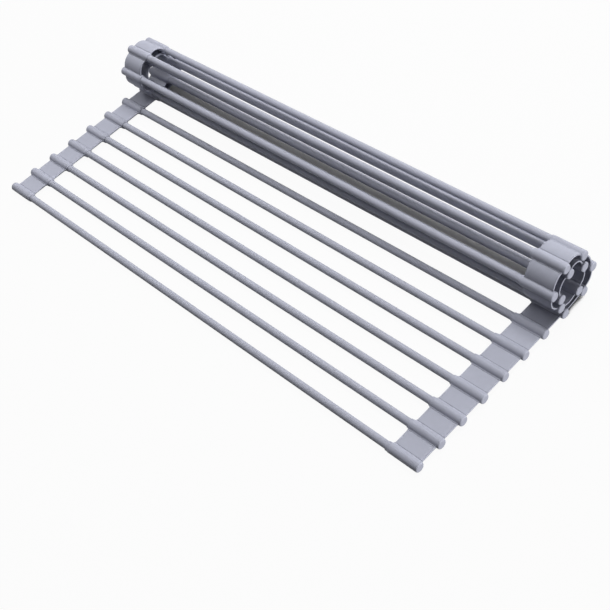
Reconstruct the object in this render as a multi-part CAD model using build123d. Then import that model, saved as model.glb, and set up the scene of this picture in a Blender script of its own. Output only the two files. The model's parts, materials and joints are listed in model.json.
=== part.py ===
from build123d import *
from math import cos, degrees, hypot, radians, sin, sqrt, tan
import os

# Roll up dish drying rack. Coated steel rods lie side by side, and each end of every rod sits in a
# blind sleeve of a silicone strip. The strips bend between their sleeves, so the rack rolls up.
# Here the near rods lie flat and the far ones are rolled into a spiral of two turns.
# X runs along the rods, Y along the strips towards the roll, and Z up from the surface below.
# The origin is on that surface, under the middle of the whole rack.

# Whole rack
overall_width = 419.0
unrolled_length = 330.2
rod_count = 18

# Silicone sleeve on the end of each rod: a blind barrel with a thinner collar at its mouth
sleeve_diameter = 6.6
barrel_length = 22.5
barrel_end_radius = 0.9
sleeve_end_wall = 2.0
collar_diameter = 6.2
collar_length = 2.0
shoulder_radius = 0.2
collar_edge_radius = 0.2

# Silicone web that joins each sleeve to the next
web_thickness = 1.0
web_setback = 1.75
web_root_radius = 0.8
web_root_margin = 0.1
web_slit = 0.2

# Rod: a steel tube inside a thin silicone coat
coat_diameter = 5.2
core_diameter = 4.6
core_wall = 0.6
glue_line = 0.05
end_play = 0.3

# Allowance by which cutting shapes run past what they cut
overrun = 1.0

# Bend of each web of the roll in degrees, by the number of the rod before it.
# The rod named here is the last one that lies flat, and every web before it is straight.
last_flat_rod = 8
roll_bends = {8: 16, 9: 77, 10: 42, 11: 63, 12: 54, 13: 74, 14: 64, 15: 75, 16: 98, 17: 68}

# Least gap between the sleeves of two turns. A web whose sleeve would come closer bends on by
# further steps, each of this many degrees, until the sleeve is clear of the turn outside it.
turn_gap = 0.3
bend_step = 1

# Sizes that follow from those above
full_turn = 360
sleeve_radius = sleeve_diameter / 2
half_web = web_thickness / 2
half_width = overall_width / 2
pitch = (unrolled_length - sleeve_diameter) / (rod_count - 1)
web_outer_x = half_width - web_setback
web_inner_x = half_width - barrel_length
sleeve_inner_x = web_inner_x - collar_length
bore_radius = coat_diameter / 2 + glue_line
bore_end_x = half_width - sleeve_end_wall
rod_length = 2 * (bore_end_x - end_play)

# Where the rounded root of a web ends, measured from the sleeve's axis, and where the web may bend
root_reach = sqrt((sleeve_radius + web_root_radius) ** 2 - (half_web + web_root_radius) ** 2)
stiff_reach = root_reach + web_root_margin
free_length = pitch - 2 * stiff_reach


def tangent_reach(bend):
    """Distance from a sleeve's axis to where the two ends of its bent web would meet in line."""
    if bend == 0:
        return pitch / 2
    return stiff_reach + free_length / bend * tan(bend / 2)


def next_place(place, bend):
    """Place of the sleeve that a web leads to, from the place before it and the web's bend."""
    y, z, angle = place
    reach = tangent_reach(bend)
    turned = angle + bend
    y = y + reach * (cos(angle) + cos(turned))
    z = z + reach * (sin(angle) + sin(turned))
    return y, z, turned


def is_crowded(place, places):
    """Whether a sleeve there would come nearer to one of those already laid than the turn gap."""
    spacing = sleeve_diameter + turn_gap
    return any(hypot(place[0] - y, place[1] - z) < spacing for y, z, angle in places.values())


def lay_links():
    """Place of each rod, as its (y, z, angle), and the bend of each web of the roll in radians."""
    places = {rod: ((rod - 1) * pitch, sleeve_radius, 0) for rod in range(1, last_flat_rod + 1)}
    bends = {}
    for rod in range(last_flat_rod, rod_count):
        bend = radians(roll_bends[rod])
        while is_crowded(next_place(places[rod], bend), places):
            bend = bend + radians(bend_step)
        bends[rod] = bend
        places[rod + 1] = next_place(places[rod], bend)
    middle = (min(y for y, z, a in places.values()) + max(y for y, z, a in places.values())) / 2
    return {rod: (y - middle, z, angle) for rod, (y, z, angle) in places.items()}, bends


def half_web_face(bend):
    """Section of the half web on a sleeve's +Y side: straight at its root, then half of the bend."""
    if bend == 0:
        tip_y = pitch / 2 - web_slit / 2
        return Pos(tip_y / 2, 0) * Rectangle(tip_y, web_thickness)
    centre_z = free_length / bend
    tip = bend / 2 - web_slit / 2 / centre_z
    rim_tip = degrees(tip)
    centre = (stiff_reach, centre_z)
    outer = CenterArc(centre, centre_z + half_web, -full_turn / 4, rim_tip)
    inner = CenterArc(centre, centre_z - half_web, -full_turn / 4, rim_tip)
    outline = [
        Line((0, -half_web), outer @ 0),
        outer,
        Line(outer @ 1, inner @ 1),
        inner,
        Line(inner @ 0, (0, half_web)),
        Line((0, half_web), (0, -half_web)),
    ]
    return make_face(outline)


def root_fillet_face():
    """Section of the rounded root between a sleeve's top and the web on its +Y side."""
    share = sleeve_radius / (sleeve_radius + web_root_radius)
    centre_z = half_web + web_root_radius
    on_web = (root_reach, half_web)
    on_sleeve = (root_reach * share, centre_z * share)
    arc = RadiusArc(on_web, on_sleeve, web_root_radius)
    return make_face([arc, Line(on_sleeve, (0, 0)), Line((0, 0), on_web)])


def strip_section(bend_before, bend_after):
    """Section of one sleeve with its half webs, the sleeve still solid."""
    section = Circle(sleeve_radius)
    fillet_above = root_fillet_face()
    fillets = fillet_above + mirror(fillet_above, about=Plane.XZ)
    if bend_after is not None:
        section = section + half_web_face(bend_after) + fillets
    if bend_before is not None:
        section = section + mirror(half_web_face(bend_before) + fillets, about=Plane.YZ)
    return section


def barrel_end():
    """Closed outer end of a sleeve, past the web, with its rounded edge."""
    rim_x = half_width - barrel_end_radius
    rim = (rim_x, sleeve_radius)
    face_edge = (half_width, sleeve_radius - barrel_end_radius)
    outline = [
        Line((web_outer_x, 0), (web_outer_x, sleeve_radius)),
        Line((web_outer_x, sleeve_radius), rim),
        RadiusArc(rim, face_edge, barrel_end_radius),
        Line(face_edge, (half_width, 0)),
        Line((half_width, 0), (web_outer_x, 0)),
    ]
    return revolve(make_face(outline), axis=Axis.X)


def collar():
    """Thinner collar at a sleeve's mouth, with a rounded shoulder up to the barrel."""
    collar_radius = collar_diameter / 2
    shoulder = (web_inner_x, collar_radius + shoulder_radius)
    shoulder_foot = (web_inner_x - shoulder_radius, collar_radius)
    edge = (sleeve_inner_x + collar_edge_radius, collar_radius)
    mouth = (sleeve_inner_x, collar_radius - collar_edge_radius)
    outline = [
        Line((web_inner_x, 0), shoulder),
        RadiusArc(shoulder, shoulder_foot, shoulder_radius),
        Line(shoulder_foot, edge),
        RadiusArc(edge, mouth, -collar_edge_radius),
        Line(mouth, (sleeve_inner_x, 0)),
        Line((sleeve_inner_x, 0), (web_inner_x, 0)),
    ]
    return revolve(make_face(outline), axis=Axis.X)


def along_x(radius, start, end):
    """Round bar along X between two places."""
    return Pos((start + end) / 2, 0, 0) * Rot(0, full_turn / 4, 0) * Cylinder(radius, end - start)


def strip_link(rod, bends):
    """Sleeve and half webs at both ends of one rod, as the two strips have them, lying level."""
    bend_before = bends.get(rod - 1, 0) if rod > 1 else None
    bend_after = bends.get(rod, 0) if rod < rod_count else None
    section = Plane.YZ * strip_section(bend_before, bend_after)
    body = Pos(web_inner_x, 0, 0) * extrude(section, amount=web_outer_x - web_inner_x)
    bore = along_x(bore_radius, sleeve_inner_x - overrun, bore_end_x)
    right = body + barrel_end() + collar() - bore
    return Compound([right.solid(), mirror(right, about=Plane.YZ).solid()])


def rod_coat():
    """Silicone coat of a rod, an open tube from one sleeve's bore to the other's."""
    outside = along_x(coat_diameter / 2, -rod_length / 2, rod_length / 2)
    bore_reach = rod_length / 2 + overrun
    return outside - along_x(core_diameter / 2 + glue_line, -bore_reach, bore_reach)


def rod_core():
    """Steel tube that carries the load, hidden in its coat."""
    outside = along_x(core_diameter / 2, -rod_length / 2, rod_length / 2)
    bore_reach = rod_length / 2 + overrun
    return outside - along_x(core_diameter / 2 - core_wall, -bore_reach, bore_reach)


def build_rack():
    """Every rod with its coat and its part of the strips, each in its place."""
    os.makedirs("parts", exist_ok=True)
    places, bends = lay_links()
    for rod, (y, z, angle) in places.items():
        place = Pos(0, y, z) * Rot(degrees(angle), 0, 0)
        export_step(place * rod_core(), f"parts/rod_core_{rod:02d}.step")
        export_step(place * rod_coat(), f"parts/rod_coat_{rod:02d}.step")
        export_step(place * strip_link(rod, bends), f"parts/strip_link_{rod:02d}.step")


build_rack()
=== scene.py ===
import json
import logging
import math
from dataclasses import dataclass, field
from enum import Enum

import bpy
import numpy as np
from mathutils import Matrix, Vector

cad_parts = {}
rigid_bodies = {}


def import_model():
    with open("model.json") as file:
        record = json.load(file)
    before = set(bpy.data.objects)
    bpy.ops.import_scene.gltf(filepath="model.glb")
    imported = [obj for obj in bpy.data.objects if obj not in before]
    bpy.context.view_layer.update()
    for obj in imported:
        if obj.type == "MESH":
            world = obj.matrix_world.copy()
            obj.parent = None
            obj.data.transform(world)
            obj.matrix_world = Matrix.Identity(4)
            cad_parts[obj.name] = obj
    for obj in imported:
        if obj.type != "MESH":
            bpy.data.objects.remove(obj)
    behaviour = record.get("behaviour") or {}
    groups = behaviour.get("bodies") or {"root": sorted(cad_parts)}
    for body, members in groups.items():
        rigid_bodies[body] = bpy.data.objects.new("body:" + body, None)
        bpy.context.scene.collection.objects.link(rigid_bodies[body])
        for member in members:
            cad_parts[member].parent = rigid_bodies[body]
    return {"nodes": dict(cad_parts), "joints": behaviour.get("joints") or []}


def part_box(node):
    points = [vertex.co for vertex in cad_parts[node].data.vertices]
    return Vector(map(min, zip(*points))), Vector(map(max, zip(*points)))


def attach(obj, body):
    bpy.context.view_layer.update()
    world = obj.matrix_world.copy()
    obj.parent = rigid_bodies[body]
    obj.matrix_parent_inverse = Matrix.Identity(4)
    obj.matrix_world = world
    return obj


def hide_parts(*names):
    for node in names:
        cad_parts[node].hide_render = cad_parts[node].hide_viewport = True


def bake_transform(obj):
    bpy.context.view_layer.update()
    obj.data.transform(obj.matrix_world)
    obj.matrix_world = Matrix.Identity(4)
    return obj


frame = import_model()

# A roll up dish drying rack: coated rods lie side by side in two moulded silicone strips, and the
# far end of the rack is rolled into a spiral. Every length is in metres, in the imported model's frame.

MM = 0.001
WHITE = (1.0, 1.0, 1.0, 1.0)

# Attributes that the finishes read: a point's place in the unrolled rack, and how deep in a crease it
# lies, from 0 to 1. The silicone darkens its colour by the second as painted shade, and gets rougher by
# it.
GRAIN = "grain"
PAINTED_SHADE_CREASE = "crease"

# Places of a colour Mix node's inputs and of its output, whose names it has more than once
MIX_FACTOR, MIX_FIRST, MIX_SECOND, MIX_RESULT = 0, 6, 7, 2

# Middle of what a noise gives, and the angle in degrees past which an edge isn't smoothed
NOISE_MIDDLE = 0.5
SHARP_ANGLE = 38.0

log = logging.getLogger("rack")


class Side(Enum):
    """The two silicone strips, by the sign of the X that each one is on."""

    LEFT = -1
    RIGHT = 1


class Draw(Enum):
    """How a finish runs over its piece, as a stretch of the pattern along X, Y and Z."""

    MOULDED = (1.0, 1.0, 1.0)
    EXTRUDED = (0.06, 1.0, 1.0)
    DRAWN = (0.01, 1.0, 1.0)


class Sock:
    """A shader socket that adds, subtracts and multiplies as a number does, on either side."""

    def __init__(self, graph: "Graph", socket: bpy.types.NodeSocket) -> None:
        """Wrap one output.

        Args:
            graph: The graph that new nodes go into.
            socket: The output socket.
        """
        self.graph = graph
        self.socket = socket

    def _math(self, operation: str, a: "Sock | float", b: "Sock | float") -> "Sock":
        """Add one Math node.

        Args:
            operation: The node's operation.
            a: Its first value or link.
            b: Its second value or link.

        Returns:
            The node's value.
        """
        return self.graph.node("ShaderNodeMath", {"operation": operation}, {0: a, 1: b})

    def __add__(self, other: "Sock | float") -> "Sock":
        """Sum of this value and another."""
        return self._math("ADD", self, other)

    def __radd__(self, other: float) -> "Sock":
        """Sum of another value and this one."""
        return self._math("ADD", other, self)

    def __sub__(self, other: "Sock | float") -> "Sock":
        """This value less another."""
        return self._math("SUBTRACT", self, other)

    def __rsub__(self, other: float) -> "Sock":
        """Another value less this one."""
        return self._math("SUBTRACT", other, self)

    def __mul__(self, other: "Sock | float") -> "Sock":
        """Product of this value and another."""
        return self._math("MULTIPLY", self, other)

    def __rmul__(self, other: float) -> "Sock":
        """Product of another value and this one."""
        return self._math("MULTIPLY", other, self)

    def at_most(self, other: "Sock | float") -> "Sock":
        """The lesser of this value and another."""
        return self._math("MINIMUM", self, other)

    def at_least(self, other: "Sock | float") -> "Sock":
        """The greater of this value and another."""
        return self._math("MAXIMUM", self, other)


class Graph:
    """The nodes of one material or world."""

    def __init__(self, tree: bpy.types.NodeTree) -> None:
        """Start with an empty tree.

        Args:
            tree: The node tree to fill.
        """
        self.tree = tree
        tree.nodes.clear()

    def _made(self, kind: str, settings: dict, inputs: dict) -> bpy.types.Node:
        """Add one node, set it and link it.

        Args:
            kind: The node's type.
            settings: Properties, set first.
            inputs: Values or links by the input's name or place.

        Returns:
            The node.
        """
        made = self.tree.nodes.new(kind)
        for name, value in settings.items():
            setattr(made, name, value)
        for name, value in inputs.items():
            if isinstance(value, Sock):
                self.tree.links.new(value.socket, made.inputs[name])
            else:
                made.inputs[name].default_value = value
        return made

    def node(self, kind: str, settings: dict, inputs: dict, output: int | str = 0) -> Sock:
        """Add one node and take one of its outputs.

        Args:
            kind: The node's type.
            settings: Properties, set first.
            inputs: Values or links by the input's name or place.
            output: The output's name or place.

        Returns:
            That output, ready for sums.
        """
        return Sock(self, self._made(kind, settings, inputs).outputs[output])

    def end(self, kind: str, shader: Sock) -> None:
        """Link the last shader to an output node of the type that is named."""
        self._made(kind, {}, {"Surface": shader})

    def ramp(self, value: Sock, start: float, end: float) -> Sock:
        """Smooth step of a value from 0 at start to 1 at end.

        Args:
            value: The value to map.
            start: Where the step begins.
            end: Where the step ends.

        Returns:
            The stepped value.
        """
        settings = {"interpolation_type": "SMOOTHSTEP"}
        inputs = {"Value": value, "From Min": start, "From Max": end}
        return self.node("ShaderNodeMapRange", settings, inputs)

    def stretched(self, place: Sock, draw: Draw) -> Sock:
        """Coordinates stretched in the way that a finish runs over its piece."""
        return self.node("ShaderNodeVectorMath", {"operation": "MULTIPLY"}, {0: place, 1: draw.value})

    def noise(self, place: Sock, size: float, layers: float) -> Sock:
        """Soft noise from 0 to 1.

        Args:
            place: The coordinates.
            size: Width of one patch in metres.
            layers: Number of finer layers.

        Returns:
            The noise.
        """
        inputs = {"Vector": place, "Scale": 1 / size, "Detail": layers}
        return self.node("ShaderNodeTexNoise", {}, inputs)

    def blend_colours(self, factor: Sock, first: Sock | tuple, second: Sock | tuple) -> Sock:
        """Colour between two others.

        Args:
            factor: 0 for the first and 1 for the second.
            first: A colour or a link.
            second: A colour or a link.

        Returns:
            The mixed colour.
        """
        inputs = {MIX_FACTOR: factor, MIX_FIRST: first, MIX_SECOND: second}
        return self.node("ShaderNodeMix", {"data_type": "RGBA"}, inputs, MIX_RESULT)


def new_material(name: str) -> tuple[bpy.types.Material, Graph]:
    """Start a material with an empty graph.

    Args:
        name: The material's name.

    Returns:
        The material and its graph.
    """
    material = bpy.data.materials.new(name)
    material.use_nodes = True
    return material, Graph(material.node_tree)


@dataclass(frozen=True)
class Silicone:
    """Matte grey silicone with a faint cloudiness, a fine mould grain and painted shade in its creases.
    """

    name: str
    draw: Draw
    colour: tuple[float, float, float]
    colour_swing: float = 0.1
    cloud_depth: float = 0.10
    cloud_size: float = 26 * MM
    cloud_layers: float = 3.0
    patch_depth: float = 0.10
    patch_size: float = 3.2 * MM
    patch_layers: float = 4.0
    patch_bump: float = 0.3
    grain_depth: float = 0.05 * MM
    grain_size: float = 0.42 * MM
    grain_layers: float = 2.0
    grain_bump: float = 0.7
    bump_strength: float = 0.6
    roughness: float = 0.56
    roughness_swing: float = 0.10
    # How much darker the colour is painted in the depth of a crease: painted shade.
    painted_crease_shade: float = 0.42
    sheen: float = 0.05
    sheen_roughness: float = 0.45
    gloss: float = 0.35
    index: float = 1.42

    def shaded(self, level: float) -> tuple[float, float, float, float]:
        """The finish's colour at a brightness."""
        return (*(part * level for part in self.colour), 1.0)

    def build(self) -> bpy.types.Material:
        """Make the material.

        Clouds and patches are noises that lift or lower the colour's level round its middle, each by
        its own depth. Creases get painted shade, a darker colour, and patches and creases change the
        roughness a little.

        Returns:
            The finished material.
        """
        material, graph = new_material(self.name)
        place = graph.node("ShaderNodeAttribute", {"attribute_name": GRAIN}, {}, "Vector")
        crease = graph.node("ShaderNodeAttribute", {"attribute_name": PAINTED_SHADE_CREASE}, {}, "Fac")
        drawn = graph.stretched(place, self.draw)
        cloud = graph.noise(drawn, self.cloud_size, self.cloud_layers)
        patch = graph.noise(drawn, self.patch_size, self.patch_layers)
        grain = graph.noise(drawn, self.grain_size, self.grain_layers)
        whole = 2 * self.colour_swing
        clouds = (cloud - NOISE_MIDDLE) * (self.cloud_depth / whole)
        patches = (patch - NOISE_MIDDLE) * (self.patch_depth / whole)
        dark, light = self.shaded(1 - self.colour_swing), self.shaded(1 + self.colour_swing)
        base = graph.blend_colours(NOISE_MIDDLE + clouds + patches, dark, light)
        swing = self.roughness_swing
        height = grain * self.grain_bump + patch * self.patch_bump
        relief = {"Strength": self.bump_strength, "Distance": self.grain_depth, "Height": height}
        inputs = {
            # Painted shade: the colour darkens towards the depth of each crease.
            "Base Color": graph.blend_colours(crease, base, self.shaded(1 - self.painted_crease_shade)),
            "Roughness": self.roughness + (patch - NOISE_MIDDLE) * swing + crease * swing,
            "IOR": self.index,
            "Specular IOR Level": self.gloss,
            "Sheen Weight": self.sheen,
            "Sheen Roughness": self.sheen_roughness,
            "Normal": graph.node("ShaderNodeBump", {}, relief),
        }
        graph.end("ShaderNodeOutputMaterial", graph.node("ShaderNodeBsdfPrincipled", {}, inputs))
        return material


@dataclass(frozen=True)
class DrawnSteel:
    """Steel tube with fine lines along its length, hidden in the coat."""

    name: str = "drawn_steel"
    draw: Draw = Draw.DRAWN
    colour: tuple[float, float, float] = (0.55, 0.55, 0.57)
    line_size: float = 0.3 * MM
    line_layers: float = 3.0
    line_level: float = 0.8
    roughness: float = 0.25
    roughness_swing: float = 0.2

    def build(self) -> bpy.types.Material:
        """Make the material.

        The lines are a noise stretched along the tube, which runs from the darker level of the
        colour to the full one, and makes the surface rougher as it does.

        Returns:
            The finished material.
        """
        material, graph = new_material(self.name)
        place = graph.node("ShaderNodeTexCoord", {}, {}, "Object")
        lines = graph.noise(graph.stretched(place, self.draw), self.line_size, self.line_layers)
        dark = (*(part * self.line_level for part in self.colour), 1.0)
        inputs = {
            "Base Color": graph.blend_colours(lines, dark, (*self.colour, 1.0)),
            "Metallic": 1.0,
            "Roughness": self.roughness + lines * self.roughness_swing,
        }
        graph.end("ShaderNodeOutputMaterial", graph.node("ShaderNodeBsdfPrincipled", {}, inputs))
        return material


@dataclass(frozen=True)
class Link:
    """One rod's place: its axis in the YZ plane, its strip's tilt, and its place along the strip."""

    number: int
    y: float
    z: float
    tilt: float
    along: float

    def placed(self, local: np.ndarray) -> np.ndarray:
        """Turn local points by the link's tilt about X and carry them to its axis.

        Args:
            local: Points as (x, along the strip, above the strip), any leading shape.

        Returns:
            The points in the rack's frame.
        """
        x, v, h = np.moveaxis(local, -1, 0)
        y = self.y + v * math.cos(self.tilt) - h * math.sin(self.tilt)
        z = self.z + v * math.sin(self.tilt) + h * math.cos(self.tilt)
        return np.stack([x, y, z], -1)

    def unrolled(self, local: np.ndarray) -> np.ndarray:
        """The same local points in the unrolled rack, where patterns are read."""
        return local + np.array([0.0, self.along, 0.0])


def number_of(name: str) -> int:
    """The rod's number, which ends the name of its nodes and of its body."""
    return int(name.rsplit("_", 1)[-1])


@dataclass
class Layout:
    """Where the links are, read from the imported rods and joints."""

    links: dict[int, Link] = field(default_factory=dict)
    bends: dict[int, float] = field(default_factory=dict)
    pitch: float = 0.0
    half_width: float = 0.0
    sleeve_radius: float = 0.0
    rod_half: float = 0.0
    coat_radius: float = 0.0

    @classmethod
    def read(cls) -> "Layout":
        """Read the frame.

        Each rod's axis is the middle of its coat's box. A link's tilt is the sum of the bends of the
        webs between the flat stretch and it, and those are the upper limits of the unrolling joints.

        Returns:
            The layout.
        """
        layout = cls()
        numbers = sorted(number_of(name) for name in frame["nodes"] if name.startswith("rod_coat_"))
        for joint in frame["joints"]:
            before = min(number_of(joint[end]) for end in ("parent", "child"))
            unrolls = joint["name"].startswith("unroll")
            layout.bends[before] = math.radians(joint["range_deg"][1]) if unrolls else 0.0
        middles = {}
        for number in numbers:
            low, high = (np.array(corner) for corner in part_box(f"rod_coat_{number:02d}"))
            middles[number] = (low + high) / 2
        layout.rod_half, layout.coat_radius = high[0], (high[2] - low[2]) / 2
        layout.pitch = middles[numbers[1]][1] - middles[numbers[0]][1]
        low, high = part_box(f"strip_link_{numbers[0]:02d}")
        layout.half_width, layout.sleeve_radius = high[0], (high[2] - low[2]) / 2
        tilt = 0.0
        for number in numbers:
            tilt += layout.bends.get(number - 1, 0.0)
            y, z = middles[number][1:]
            layout.links[number] = Link(number, y, z, tilt, (number - 1) * layout.pitch)
        return layout

    def roll_start(self) -> float:
        """Y of the last rod that lies flat, where the roll begins."""
        return max(link.y for link in self.links.values() if link.tilt == 0)


@dataclass(frozen=True)
class Moulding:
    """Sizes of the silicone strip that its sleeves and webs share."""

    web_thickness: float = 1.0 * MM
    web_setback: float = 1.75 * MM
    barrel_length: float = 22.5 * MM
    root_radius: float = 0.8 * MM
    root_margin: float = 0.1 * MM
    window_radius: float = 1.6 * MM
    edge_radius: float = 0.28 * MM
    crease_depth: float = 0.11 * MM

    def root_reach(self, sleeve_radius: float) -> float:
        """Distance from a sleeve's axis to the foot of the fillet on its web.

        The fillet touches the sleeve and the web's face, so its centre stands one fillet radius off
        both, and the reach is the third side of that right triangle.

        Args:
            sleeve_radius: The sleeve's radius.

        Returns:
            The reach.
        """
        across = sleeve_radius + self.root_radius
        up = self.web_thickness / 2 + self.root_radius
        return math.sqrt(across**2 - up**2)

    def stiff_reach(self, sleeve_radius: float) -> float:
        """Distance from a sleeve's axis to the crease where its web may bend."""
        return self.root_reach(sleeve_radius) + self.root_margin


def grid_faces(rings: int, around: int) -> np.ndarray:
    """Quads between neighbouring rings of a grid that closes on itself around.

    Args:
        rings: Number of rings.
        around: Points in each ring.

    Returns:
        The faces, each as four point numbers.
    """
    ring = np.arange(rings - 1)[:, None] * around
    here = np.arange(around)[None, :]
    after = (here + 1) % around
    quads = np.stack([ring + here, ring + after, ring + around + after, ring + around + here], -1)
    return quads.reshape(-1, 4)


def make_piece(
    name: str,
    points: np.ndarray,
    grain: np.ndarray,
    crease: np.ndarray,
    flip: bool,
    finish: bpy.types.Material,
) -> bpy.types.Object:
    """Make a closed piece from a grid of rings, with its first and last ring capped.

    With what the pieces now pass as flip, their faces point inwards. The opposite value of each
    turns them outwards.

    Args:
        name: The piece's name.
        points: Grid of places, as rings by points by three.
        grain: The same grid in the unrolled rack, where patterns are read.
        crease: Grid of values, 1 in the depth of a crease, where the finish paints the most shade.
        flip: True to turn every face of the grid round.
        finish: The piece's material.

    Returns:
        The finished object.
    """
    rings, around = points.shape[:2]
    faces = grid_faces(rings, around)
    caps = [np.arange(around)[::-1], np.arange(around) + (rings - 1) * around]
    if flip:
        faces = faces[:, ::-1]
        caps = [cap[::-1] for cap in caps]
    mesh = bpy.data.meshes.new(name)
    polygons = faces.tolist() + [cap.tolist() for cap in caps]
    mesh.from_pydata(points.reshape(-1, 3).tolist(), [], polygons)
    mesh.attributes.new(GRAIN, "FLOAT_VECTOR", "POINT").data.foreach_set("vector", grain.ravel())
    mesh.attributes.new(PAINTED_SHADE_CREASE, "FLOAT", "POINT").data.foreach_set("value", crease.ravel())
    mesh.shade_smooth()
    mesh.set_sharp_from_angle(angle=math.radians(SHARP_ANGLE))
    mesh.materials.append(finish)
    piece = bpy.data.objects.new(name, mesh)
    bpy.context.scene.collection.objects.link(piece)
    log.info("%s: %d faces", name, len(mesh.polygons))
    return piece


@dataclass(frozen=True)
class Wave:
    """One of the sine waves by which a coat's outside ripples along its rod."""

    per_metre: float
    per_rod: float
    share: float

    def at(self, x: np.ndarray, rod: int) -> np.ndarray:
        """The wave's share times the sine of its angle, which grows with x and from rod to rod."""
        return self.share * np.sin(x * self.per_metre + rod * self.per_rod)


@dataclass
class Rods:
    """The rods: each coat is a tube round a steel core."""

    layout: Layout
    bore_radius: float = 2.35 * MM
    ripple: float = 0.006 * MM
    waves: tuple[Wave, ...] = (Wave(37.0, 1.7, 0.7), Wave(131.0, 4.1, 0.3))
    around: int = 48
    steps: int = 120

    def coat(self, link: Link) -> tuple[np.ndarray, np.ndarray]:
        """Grid of one coat.

        The rings go along the outside from left to right and back through the bore. The outside's
        radius ripples a little along the rod, by a sum of sine waves that differ from rod to rod.
        The first ring and the last lie together at the bore's left end, where their two caps close
        it, hidden in the sleeve. The ring at the bore's right end is there twice.

        Args:
            link: The rod's place.

        Returns:
            The local places and the crease values.
        """
        x = np.linspace(-self.layout.rod_half, self.layout.rod_half, self.steps)
        ripple = self.ripple * sum(wave.at(x, link.number) for wave in self.waves)
        ring_x = np.concatenate([x[:1], x, x[[-1, -1, 0]]])[:, None]
        outside = self.layout.coat_radius + ripple
        radius = np.pad(outside, (1, 3), constant_values=self.bore_radius)[:, None]
        turn = np.linspace(0, 2 * math.pi, self.around, endpoint=False)
        local = np.stack([ring_x + 0 * turn, radius * np.cos(turn), radius * np.sin(turn)], -1)
        return local, np.zeros(local.shape[:2])

    def build(self, finish: bpy.types.Material, steel: bpy.types.Material) -> None:
        """Make every coat and dress every core.

        Args:
            finish: The coat's material.
            steel: The core's material.
        """
        for number, link in self.layout.links.items():
            local, crease = self.coat(link)
            name = f"coat_{number:02d}"
            piece = make_piece(name, link.placed(local), link.unrolled(local), crease, True, finish)
            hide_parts(f"rod_coat_{number:02d}")
            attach(piece, f"link_{number:02d}")
            core = frame["nodes"][f"rod_core_{number:02d}"]
            for slot in core.material_slots:
                slot.material = steel


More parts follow.
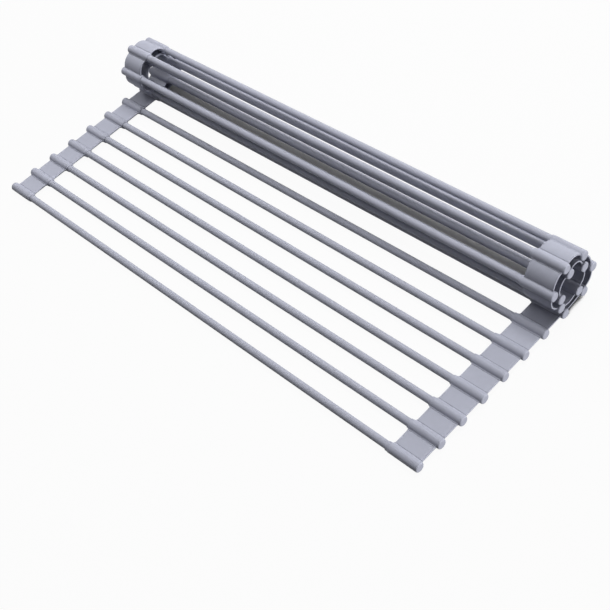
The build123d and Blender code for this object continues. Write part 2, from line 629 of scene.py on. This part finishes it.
@dataclass
class Sleeves:
    """The blind sleeves on the rods' ends, with the roots of their webs and their thin collars."""

    layout: Layout
    moulding: Moulding
    end_radius: float = 0.9 * MM
    end_wall: float = 2.0 * MM
    collar_radius: float = 3.1 * MM
    collar_length: float = 2.0 * MM
    shoulder_radius: float = 0.2 * MM
    mouth_radius: float = 0.16 * MM
    bore_radius: float = 2.67 * MM
    bore_lead: float = 0.5 * MM
    heel_radius: float = 0.5 * MM
    barrel_stop: float = 0.3 * MM
    lip_share: float = 0.6
    foot_crease_shade: float = 0.5
    face_shares: tuple[float, ...] = (0.02, 0.25, 0.45)
    fillet_steps: int = 6
    crown_steps: int = 13
    rim_steps: int = 7
    heel_steps: int = 5
    barrel_steps: int = 12
    window_steps: int = 7
    mouth_steps: int = 4

    def section(self) -> tuple[np.ndarray, np.ndarray, np.ndarray]:
        """Outline of a sleeve with both web roots, once round from the +Y root's middle.

        One quarter goes from the root's tip over the fillet to the sleeve's crown. The fillet is an arc
        about a centre one fillet radius off the sleeve and off the web's face. The other three quarters
        mirror it, and the points on the mirrors are there once. The crease share, which the finish
        paints as shade, is full on the root's tip and half at the fillet's foot.

        Returns:
            The outline's points, each point's direction from the axis, and the share of a crease, for
            painted shade.
        """
        shape, radius = self.moulding, self.layout.sleeve_radius
        half = shape.web_thickness / 2
        reach = shape.root_reach(radius)
        tip = shape.stiff_reach(radius)
        lip = half - shape.crease_depth
        centre = np.array([reach, half + shape.root_radius])
        meet = math.atan2(centre[1], centre[0])
        turn = np.linspace(-math.pi / 2, meet - math.pi, self.fillet_steps)
        fillet = centre + shape.root_radius * np.stack([np.cos(turn), np.sin(turn)], 1)
        over = np.linspace(meet, math.pi / 2, self.crown_steps)[1:]
        crown = radius * np.stack([np.cos(over), np.sin(over)], 1)
        front = np.array([[tip, 0.0], [tip, lip * self.lip_share], [tip, lip]])
        quarter = np.concatenate([front, fillet, crown])
        depth = np.concatenate([np.ones(len(front)), np.zeros(len(fillet) + len(crown))])
        depth[len(front)] = self.foot_crease_shade
        upper = np.concatenate([quarter, quarter[-2::-1] * [-1, 1]])
        shade = np.concatenate([depth, depth[-2::-1]])
        outline = np.concatenate([upper, upper[-2:0:-1] * [1, -1]])
        shade = np.concatenate([shade, shade[-2:0:-1]])
        direction = outline / np.linalg.norm(outline, axis=1, keepdims=True)
        return outline, direction, shade

    def stations(self) -> np.ndarray:
        """Rings of a sleeve from its closed end through its mouth to the bottom of its bore.

        Each row is a ring's x, the radius of the round part there, the share of the web root's full
        reach, and the share of a crease, which the finish darkens as painted shade. The root grows
        along an arc at the web's outer edge, the heel, and goes down along a larger one at its inner
        edge, the window's corner, which runs out on the collar. The shoulder between barrel and collar
        falls along a quarter circle, and its rings get their radius last.

        Returns:
            The rows.
        """
        shape, barrel = self.moulding, self.layout.sleeve_radius
        end_x = self.layout.half_width
        outer_x, inner_x = end_x - shape.web_setback, end_x - shape.barrel_length
        mouth_x = inner_x - self.collar_length
        stub = shape.stiff_reach(barrel) - barrel
        to_come = 0.0
        rows = [(end_x, barrel * share, 0, 0) for share in self.face_shares]
        for turn in np.linspace(0, math.pi / 2, self.rim_steps):
            rim = end_x - self.end_radius * (1 - math.cos(turn))
            rows.append((rim, barrel - self.end_radius * (1 - math.sin(turn)), 0, 0))
        full = math.acos(max(0.0, 1 - stub / self.heel_radius))
        for turn in np.linspace(0, full, self.heel_steps):
            x = outer_x + self.heel_radius * (1 - math.sin(turn))
            rows.append((x, barrel, self.heel_radius * (1 - math.cos(turn)) / stub, 0))
        for x in np.linspace(outer_x, inner_x + self.barrel_stop, self.barrel_steps):
            rows.append((x, barrel, 1, 0))
        full = math.acos(max(0.0, 1 - stub / shape.window_radius))
        for turn in np.linspace(full, 0, self.window_steps):
            x = inner_x - shape.window_radius * (1 - math.sin(turn))
            rows.append((x, to_come, shape.window_radius * (1 - math.cos(turn)) / stub, 0))
        rows.append((mouth_x + self.mouth_radius, self.collar_radius, 0, 0))
        for turn in np.linspace(0, math.pi / 2, self.mouth_steps)[1:]:
            lip = self.collar_radius - self.mouth_radius * (1 - math.cos(turn))
            rows.append((mouth_x + self.mouth_radius * (1 - math.sin(turn)), lip, 0, 0))
        # The mouth and the bore are marked as full crease, so the finish paints them dark: painted
        # shade in the recess.
        for x in (mouth_x, mouth_x + self.bore_lead, end_x - self.end_wall):
            rows.append((x, self.bore_radius, 0, 1))
        rows = np.array(rows)
        shoulder = rows[:, 1] == to_come
        fall = np.clip((inner_x - rows[:, 0]) / self.shoulder_radius, 0, 1)
        drop = (barrel - self.collar_radius) * (1 - np.sqrt(1 - fall**2))
        rows[shoulder, 1] = (barrel - drop)[shoulder]
        return rows

    def grid(self, side: Side, before: bool, after: bool) -> tuple[np.ndarray, np.ndarray]:
        """Grid of one sleeve.

        A point lies between the round part and the outline with web roots, by the ring's share. The
        round part is the outline's direction times the ring's radius.

        Args:
            side: The strip that it belongs to.
            before: True if a web joins it on its -Y side.
            after: True if a web joins it on its +Y side.

        Returns:
            The local places and the crease values, which the finish paints as shade.
        """
        outline, direction, shade = self.section()
        rows = self.stations()
        x, radius, grown, depth = (column[:, None] for column in rows.T)
        has_web = np.where(outline[:, 0] > 0, after, before)
        share = grown * has_web
        plain = radius[..., None] * direction
        full = outline * np.maximum(radius / self.layout.sleeve_radius, 1)[..., None]
        across = plain * (1 - share[..., None]) + full * share[..., None]
        ring_x = np.broadcast_to(x[..., None] * side.value, (*share.shape, 1))
        return np.concatenate([ring_x, across], -1), np.maximum(depth, shade * share)

    def build(self, finish: bpy.types.Material) -> None:
        """Make the sleeves at both ends of every rod.

        Args:
            finish: The strip's material.
        """
        last = max(self.layout.links)
        for number, link in self.layout.links.items():
            for side in Side:
                local, crease = self.grid(side, number > 1, number < last)
                name = f"sleeve_{side.name.lower()}_{number:02d}"
                flip = side is Side.LEFT
                piece = make_piece(name, link.placed(local), link.unrolled(local), crease, flip, finish)
                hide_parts(f"strip_link_{number:02d}")
                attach(piece, f"link_{number:02d}")


@dataclass
class Webs:
    """The thin webs between neighbouring sleeves, where the strip bends as the rack rolls and unrolls;
    each is made once, with its bend at rest.
    """

    layout: Layout
    moulding: Moulding
    line_inset: float = 0.8 * MM
    line_depth: float = 0.05 * MM
    line_width: float = 0.14 * MM
    line_places: tuple[float, ...] = (-1.6, -0.8, 0.0, 0.8, 1.6)
    middle: tuple[float, float] = (0.12, 0.88)
    middle_steps: int = 7
    edge_steps: int = 5
    crease_width: float = 0.22 * MM
    along_steps: int = 31

    def centre_line(self, s: np.ndarray, bend: float) -> tuple[np.ndarray, np.ndarray, np.ndarray]:
        """Middle line of a web, from the crease beside one sleeve to the crease beside the next.

        The free length bends evenly, so it is an arc whose radius is that length over the bend. It
        leaves the crease level, and each point turns by its share of the bend.

        Args:
            s: Distances from the first sleeve's axis, along the web.
            bend: The whole bend in radians.

        Returns:
            Places along and above the first sleeve's strip, and the turn at each.
        """
        stiff = self.moulding.stiff_reach(self.layout.sleeve_radius)
        free = self.layout.pitch - 2 * stiff
        turn = (s - stiff) / free * bend
        if bend == 0:
            return s, np.zeros_like(s), turn
        radius = free / bend
        return stiff + radius * np.sin(turn), radius * (1 - np.cos(turn)), turn

    def loop(self) -> tuple[np.ndarray, np.ndarray, np.ndarray]:
        """Section across a web: a flat strip with rounded edges and a faint line inside each edge.

        Each edge rounds off along a quarter circle. Each line is a dip whose depth falls off as a
        bell curve of the distance from its middle.

        Returns:
            Shares of the way from the outer edge to the inner one, offsets in metres from that
            place towards the inner edge, and heights above the middle.
        """
        half, edge = self.moulding.web_thickness / 2, self.moulding.edge_radius
        turn = np.linspace(0, math.pi / 2, self.edge_steps)
        rise_x = edge * (1 - np.cos(turn))
        rise_h = half - edge + edge * np.sin(turn)
        near = np.array(self.line_places) * self.line_width
        line_h = half - self.line_depth * np.exp(-((near / self.line_width) ** 2))
        middle = np.linspace(*self.middle, self.middle_steps)
        level, border = np.zeros_like(middle), np.zeros(len(turn) + len(near))
        share = np.concatenate([border, middle, border + 1])
        offset = np.concatenate(
            [rise_x, self.line_inset + near, level, -self.line_inset + near, -rise_x[::-1]]
        )
        height = np.concatenate([rise_h, line_h, level + half, line_h, rise_h[::-1]])
        return (
            np.concatenate([share, share[::-1]]),
            np.concatenate([offset, offset[::-1]]),
            np.concatenate([height, -height[::-1]]),
        )

    def grid(self, side: Side, link: Link, bend: float) -> tuple[np.ndarray, np.ndarray, np.ndarray]:
        """Grid of one web.

        At each distance along it the section stands square to the middle line. Near a sleeve the
        inner edge runs out along a quarter circle, the window's corner, and at the creases the web
        is thinner by a bell curve of the distance. The distances are closer together near the
        sleeves, as half a cosine wave.

        Args:
            side: The strip that it belongs to.
            link: The sleeve that it starts from.
            bend: Its bend at rest, in radians.

        Returns:
            The local places, the same in the unrolled rack, and the crease values, which the finish
            paints as shade.
        """
        shape, barrel, pitch = self.moulding, self.layout.sleeve_radius, self.layout.pitch
        stiff = shape.stiff_reach(barrel)
        ease = (1 - np.cos(np.linspace(0, math.pi, self.along_steps))) / 2
        s = stiff + (pitch - 2 * stiff) * ease
        gap = np.minimum(s, pitch - s)
        out = np.clip(shape.window_radius - (gap - barrel), 0, shape.window_radius)
        reach = shape.window_radius - np.sqrt(shape.window_radius**2 - out**2)
        outer_x = self.layout.half_width - shape.web_setback
        inner_x = self.layout.half_width - shape.barrel_length - reach
        share, offset, height = self.loop()
        x = outer_x + (inner_x[:, None] - outer_x) * share - offset
        bell = np.exp(-(((gap - stiff) / self.crease_width) ** 2))[:, None]
        thin = 1 - bell * shape.crease_depth / (shape.web_thickness / 2)
        h = height * thin
        v, w, turn = (part[:, None] for part in self.centre_line(s, bend))
        local = np.stack([x * side.value, v - h * np.sin(turn), w + h * np.cos(turn)], -1)
        flat = np.stack([x * side.value, s[:, None] + 0 * h, h], -1)
        # The bell is also the crease value: painted shade along the crease beside each sleeve.
        return local, link.unrolled(flat), bell * np.ones_like(h)

    def build(self, finish: bpy.types.Material) -> None:
        """Make every web of both strips, with its bend at rest between its two links.

        Args:
            finish: The strip's material.
        """
        crease_place = np.array([0.0, self.moulding.stiff_reach(self.layout.sleeve_radius), 0.0])
        for number, bend in sorted(self.layout.bends.items()):
            link, after = self.layout.links[number], self.layout.links[number + 1]
            start, end = link.placed(crease_place), after.placed(-crease_place)
            for side in Side:
                local, grain, crease = self.grid(side, link, bend)
                name = f"web_{side.name.lower()}_{number:02d}_{number + 1:02d}"
                flip = side is Side.LEFT
                piece = make_piece(name, link.placed(local), grain, crease, flip, finish)
                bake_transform(piece)


@dataclass(frozen=True)
class Lamp:
    """A square lamp that faces the origin."""

    name: str
    azimuth: float
    elevation: float
    power: float
    width: float = 0.6
    distance: float = 1.2

    def hang(self) -> None:
        """Hang the lamp at its bearing from +X and its height, both in degrees."""
        data = bpy.data.lights.new(self.name, "AREA")
        data.size = self.width
        data.energy = self.power
        lamp = bpy.data.objects.new(self.name, data)
        bearing, height = math.radians(self.azimuth), math.radians(self.elevation)
        flat = math.cos(height)
        away = Vector((flat * math.cos(bearing), flat * math.sin(bearing), math.sin(height)))
        turned = away.to_track_quat("Z", "Y").to_matrix().to_4x4()
        lamp.matrix_world = Matrix.Translation(away * self.distance) @ turned
        bpy.context.scene.collection.objects.link(lamp)


@dataclass(frozen=True)
class Studio:
    """A pale floor, soft lamps and the camera at the photograph's view."""

    camera_place: tuple[float, float, float] = (0.47933, -0.27607, 0.5299)
    azimuth: float = 59.421
    elevation: float = 47.912
    roll: float = -19.136
    lens: float = 65.04
    floor_size: float = 6.0
    floor_colour: tuple[float, float, float, float] = (0.5, 0.5, 0.5, 1.0)
    floor_bounce: tuple[float, float, float, float] = (0.15, 0.15, 0.15, 1.0)
    floor_glow: float = 0.95
    shade_samples: int = 24
    shade_reach: float = 45 * MM
    shade_full: float = 0.37
    shade_none: float = 0.47
    shade_edge: float = 4 * MM
    sky: tuple[float, float, float, float] = (0.93, 0.95, 1.0, 1.0)
    sky_strength: float = 0.02
    lamps: tuple[Lamp, ...] = (
        Lamp("key", 90.0, 65.0, 10.6),
        Lamp("top", 0.0, 85.0, 2.3),
        Lamp("back", 90.0, 25.0, 3.0),
        Lamp("front", -90.0, 35.0, 0.6),
        Lamp("left", 180.0, 30.0, 3.6),
        Lamp("right", 10.0, 2.0, 42.0, 0.15, 2.4),
    )

    def camera(self) -> None:
        """Stand the camera where the photograph was taken from."""
        data = bpy.data.cameras.new("view")
        data.lens = self.lens
        camera = bpy.data.objects.new("view", data)
        turn = Matrix.Rotation(math.radians(self.azimuth), 4, "Z")
        tilt = Matrix.Rotation(math.radians(90 - self.elevation), 4, "X")
        roll = Matrix.Rotation(math.radians(self.roll), 4, "Z")
        camera.matrix_world = Matrix.Translation(self.camera_place) @ turn @ tilt @ roll
        bpy.context.scene.collection.objects.link(camera)
        bpy.context.scene.camera = camera

    @staticmethod
    def seen(graph: Graph) -> Sock:
        """1 for rays from the camera and for what gloss and glass show of the background."""
        rays = ("Is Camera Ray", "Is Glossy Ray", "Is Transmission Ray")
        camera, gloss, glass = (graph.node("ShaderNodeLightPath", {}, {}, ray) for ray in rays)
        return (camera + gloss + glass).at_most(1.0)

    def floor_finish(self, roll_y: float) -> bpy.types.Material:
        """Make the floor's material, matte with a glow for the camera.

        It glows where enough of the sky is open, and everywhere in front of the roll. Under the roll
        it doesn't, and so keeps the full shadow.

        Args:
            roll_y: The Y where the roll begins.

        Returns:
            The finished material.
        """
        material, graph = new_material("floor")
        seen = self.seen(graph)
        colour = graph.blend_colours(seen, self.floor_bounce, self.floor_colour)
        matte = graph.node("ShaderNodeBsdfDiffuse", {}, {"Color": colour})
        glow = graph.node("ShaderNodeEmission", {}, {"Color": WHITE, "Strength": 1.0})
        settings, reach = {"samples": self.shade_samples}, {"Distance": self.shade_reach}
        open_sky = graph.node("ShaderNodeAmbientOcclusion", settings, reach, "AO")
        place = graph.node("ShaderNodeTexCoord", {}, {}, "Object")
        along = graph.node("ShaderNodeSeparateXYZ", {}, {"Vector": place}, "Y")
        in_front = 1 - graph.ramp(along, roll_y, roll_y + self.shade_edge)
        clear = graph.ramp(open_sky, self.shade_full, self.shade_none).at_least(in_front)
        factor = seen * self.floor_glow * clear
        mixed = graph.node("ShaderNodeMixShader", {}, {0: factor, 1: matte, 2: glow})
        graph.end("ShaderNodeOutputMaterial", mixed)
        return material

    def floor(self, roll_y: float) -> None:
        """Lay the pale floor.

        Args:
            roll_y: The Y where the roll begins.
        """
        half = self.floor_size / 2
        corners = [(-half, -half, 0), (half, -half, 0), (half, half, 0), (-half, half, 0)]
        mesh = bpy.data.meshes.new("floor")
        mesh.from_pydata(corners, [], [(0, 1, 2, 3)])
        mesh.materials.append(self.floor_finish(roll_y))
        floor = bpy.data.objects.new("floor", mesh)
        bpy.context.scene.collection.objects.link(floor)

    def world(self) -> None:
        """Give a dim even sky that the camera sees as white."""
        world = bpy.data.worlds.new("sky")
        world.use_nodes = True
        bpy.context.scene.world = world
        graph = Graph(world.node_tree)
        dim = graph.node("ShaderNodeBackground", {}, {"Color": self.sky, "Strength": self.sky_strength})
        white = graph.node("ShaderNodeBackground", {}, {"Color": WHITE, "Strength": 1.0})
        mixed = graph.node("ShaderNodeMixShader", {}, {0: self.seen(graph), 1: dim, 2: white})
        graph.end("ShaderNodeOutputWorld", mixed)

    def build(self, roll_y: float) -> None:
        """Set the whole stage.

        Args:
            roll_y: The Y where the roll begins.
        """
        bpy.context.scene.view_settings.view_transform = "Standard"
        self.camera()
        self.floor(roll_y)
        self.world()
        for lamp in self.lamps:
            lamp.hang()


def main() -> None:
    """Build the stage and the rack."""
    logging.basicConfig(level=logging.INFO, format="%(message)s")
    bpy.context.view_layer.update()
    layout = Layout.read()
    Studio().build(layout.roll_start())
    moulding = Moulding()
    strip = Silicone("strip_silicone", Draw.MOULDED, (0.40, 0.412, 0.492)).build()
    coat = Silicone("coat_silicone", Draw.EXTRUDED, (0.40, 0.412, 0.488), patch_depth=0.08).build()
    Rods(layout).build(coat, DrawnSteel().build())
    Sleeves(layout, moulding).build(strip)
    Webs(layout, moulding).build(strip)


if __name__ == "__main__":
    main()
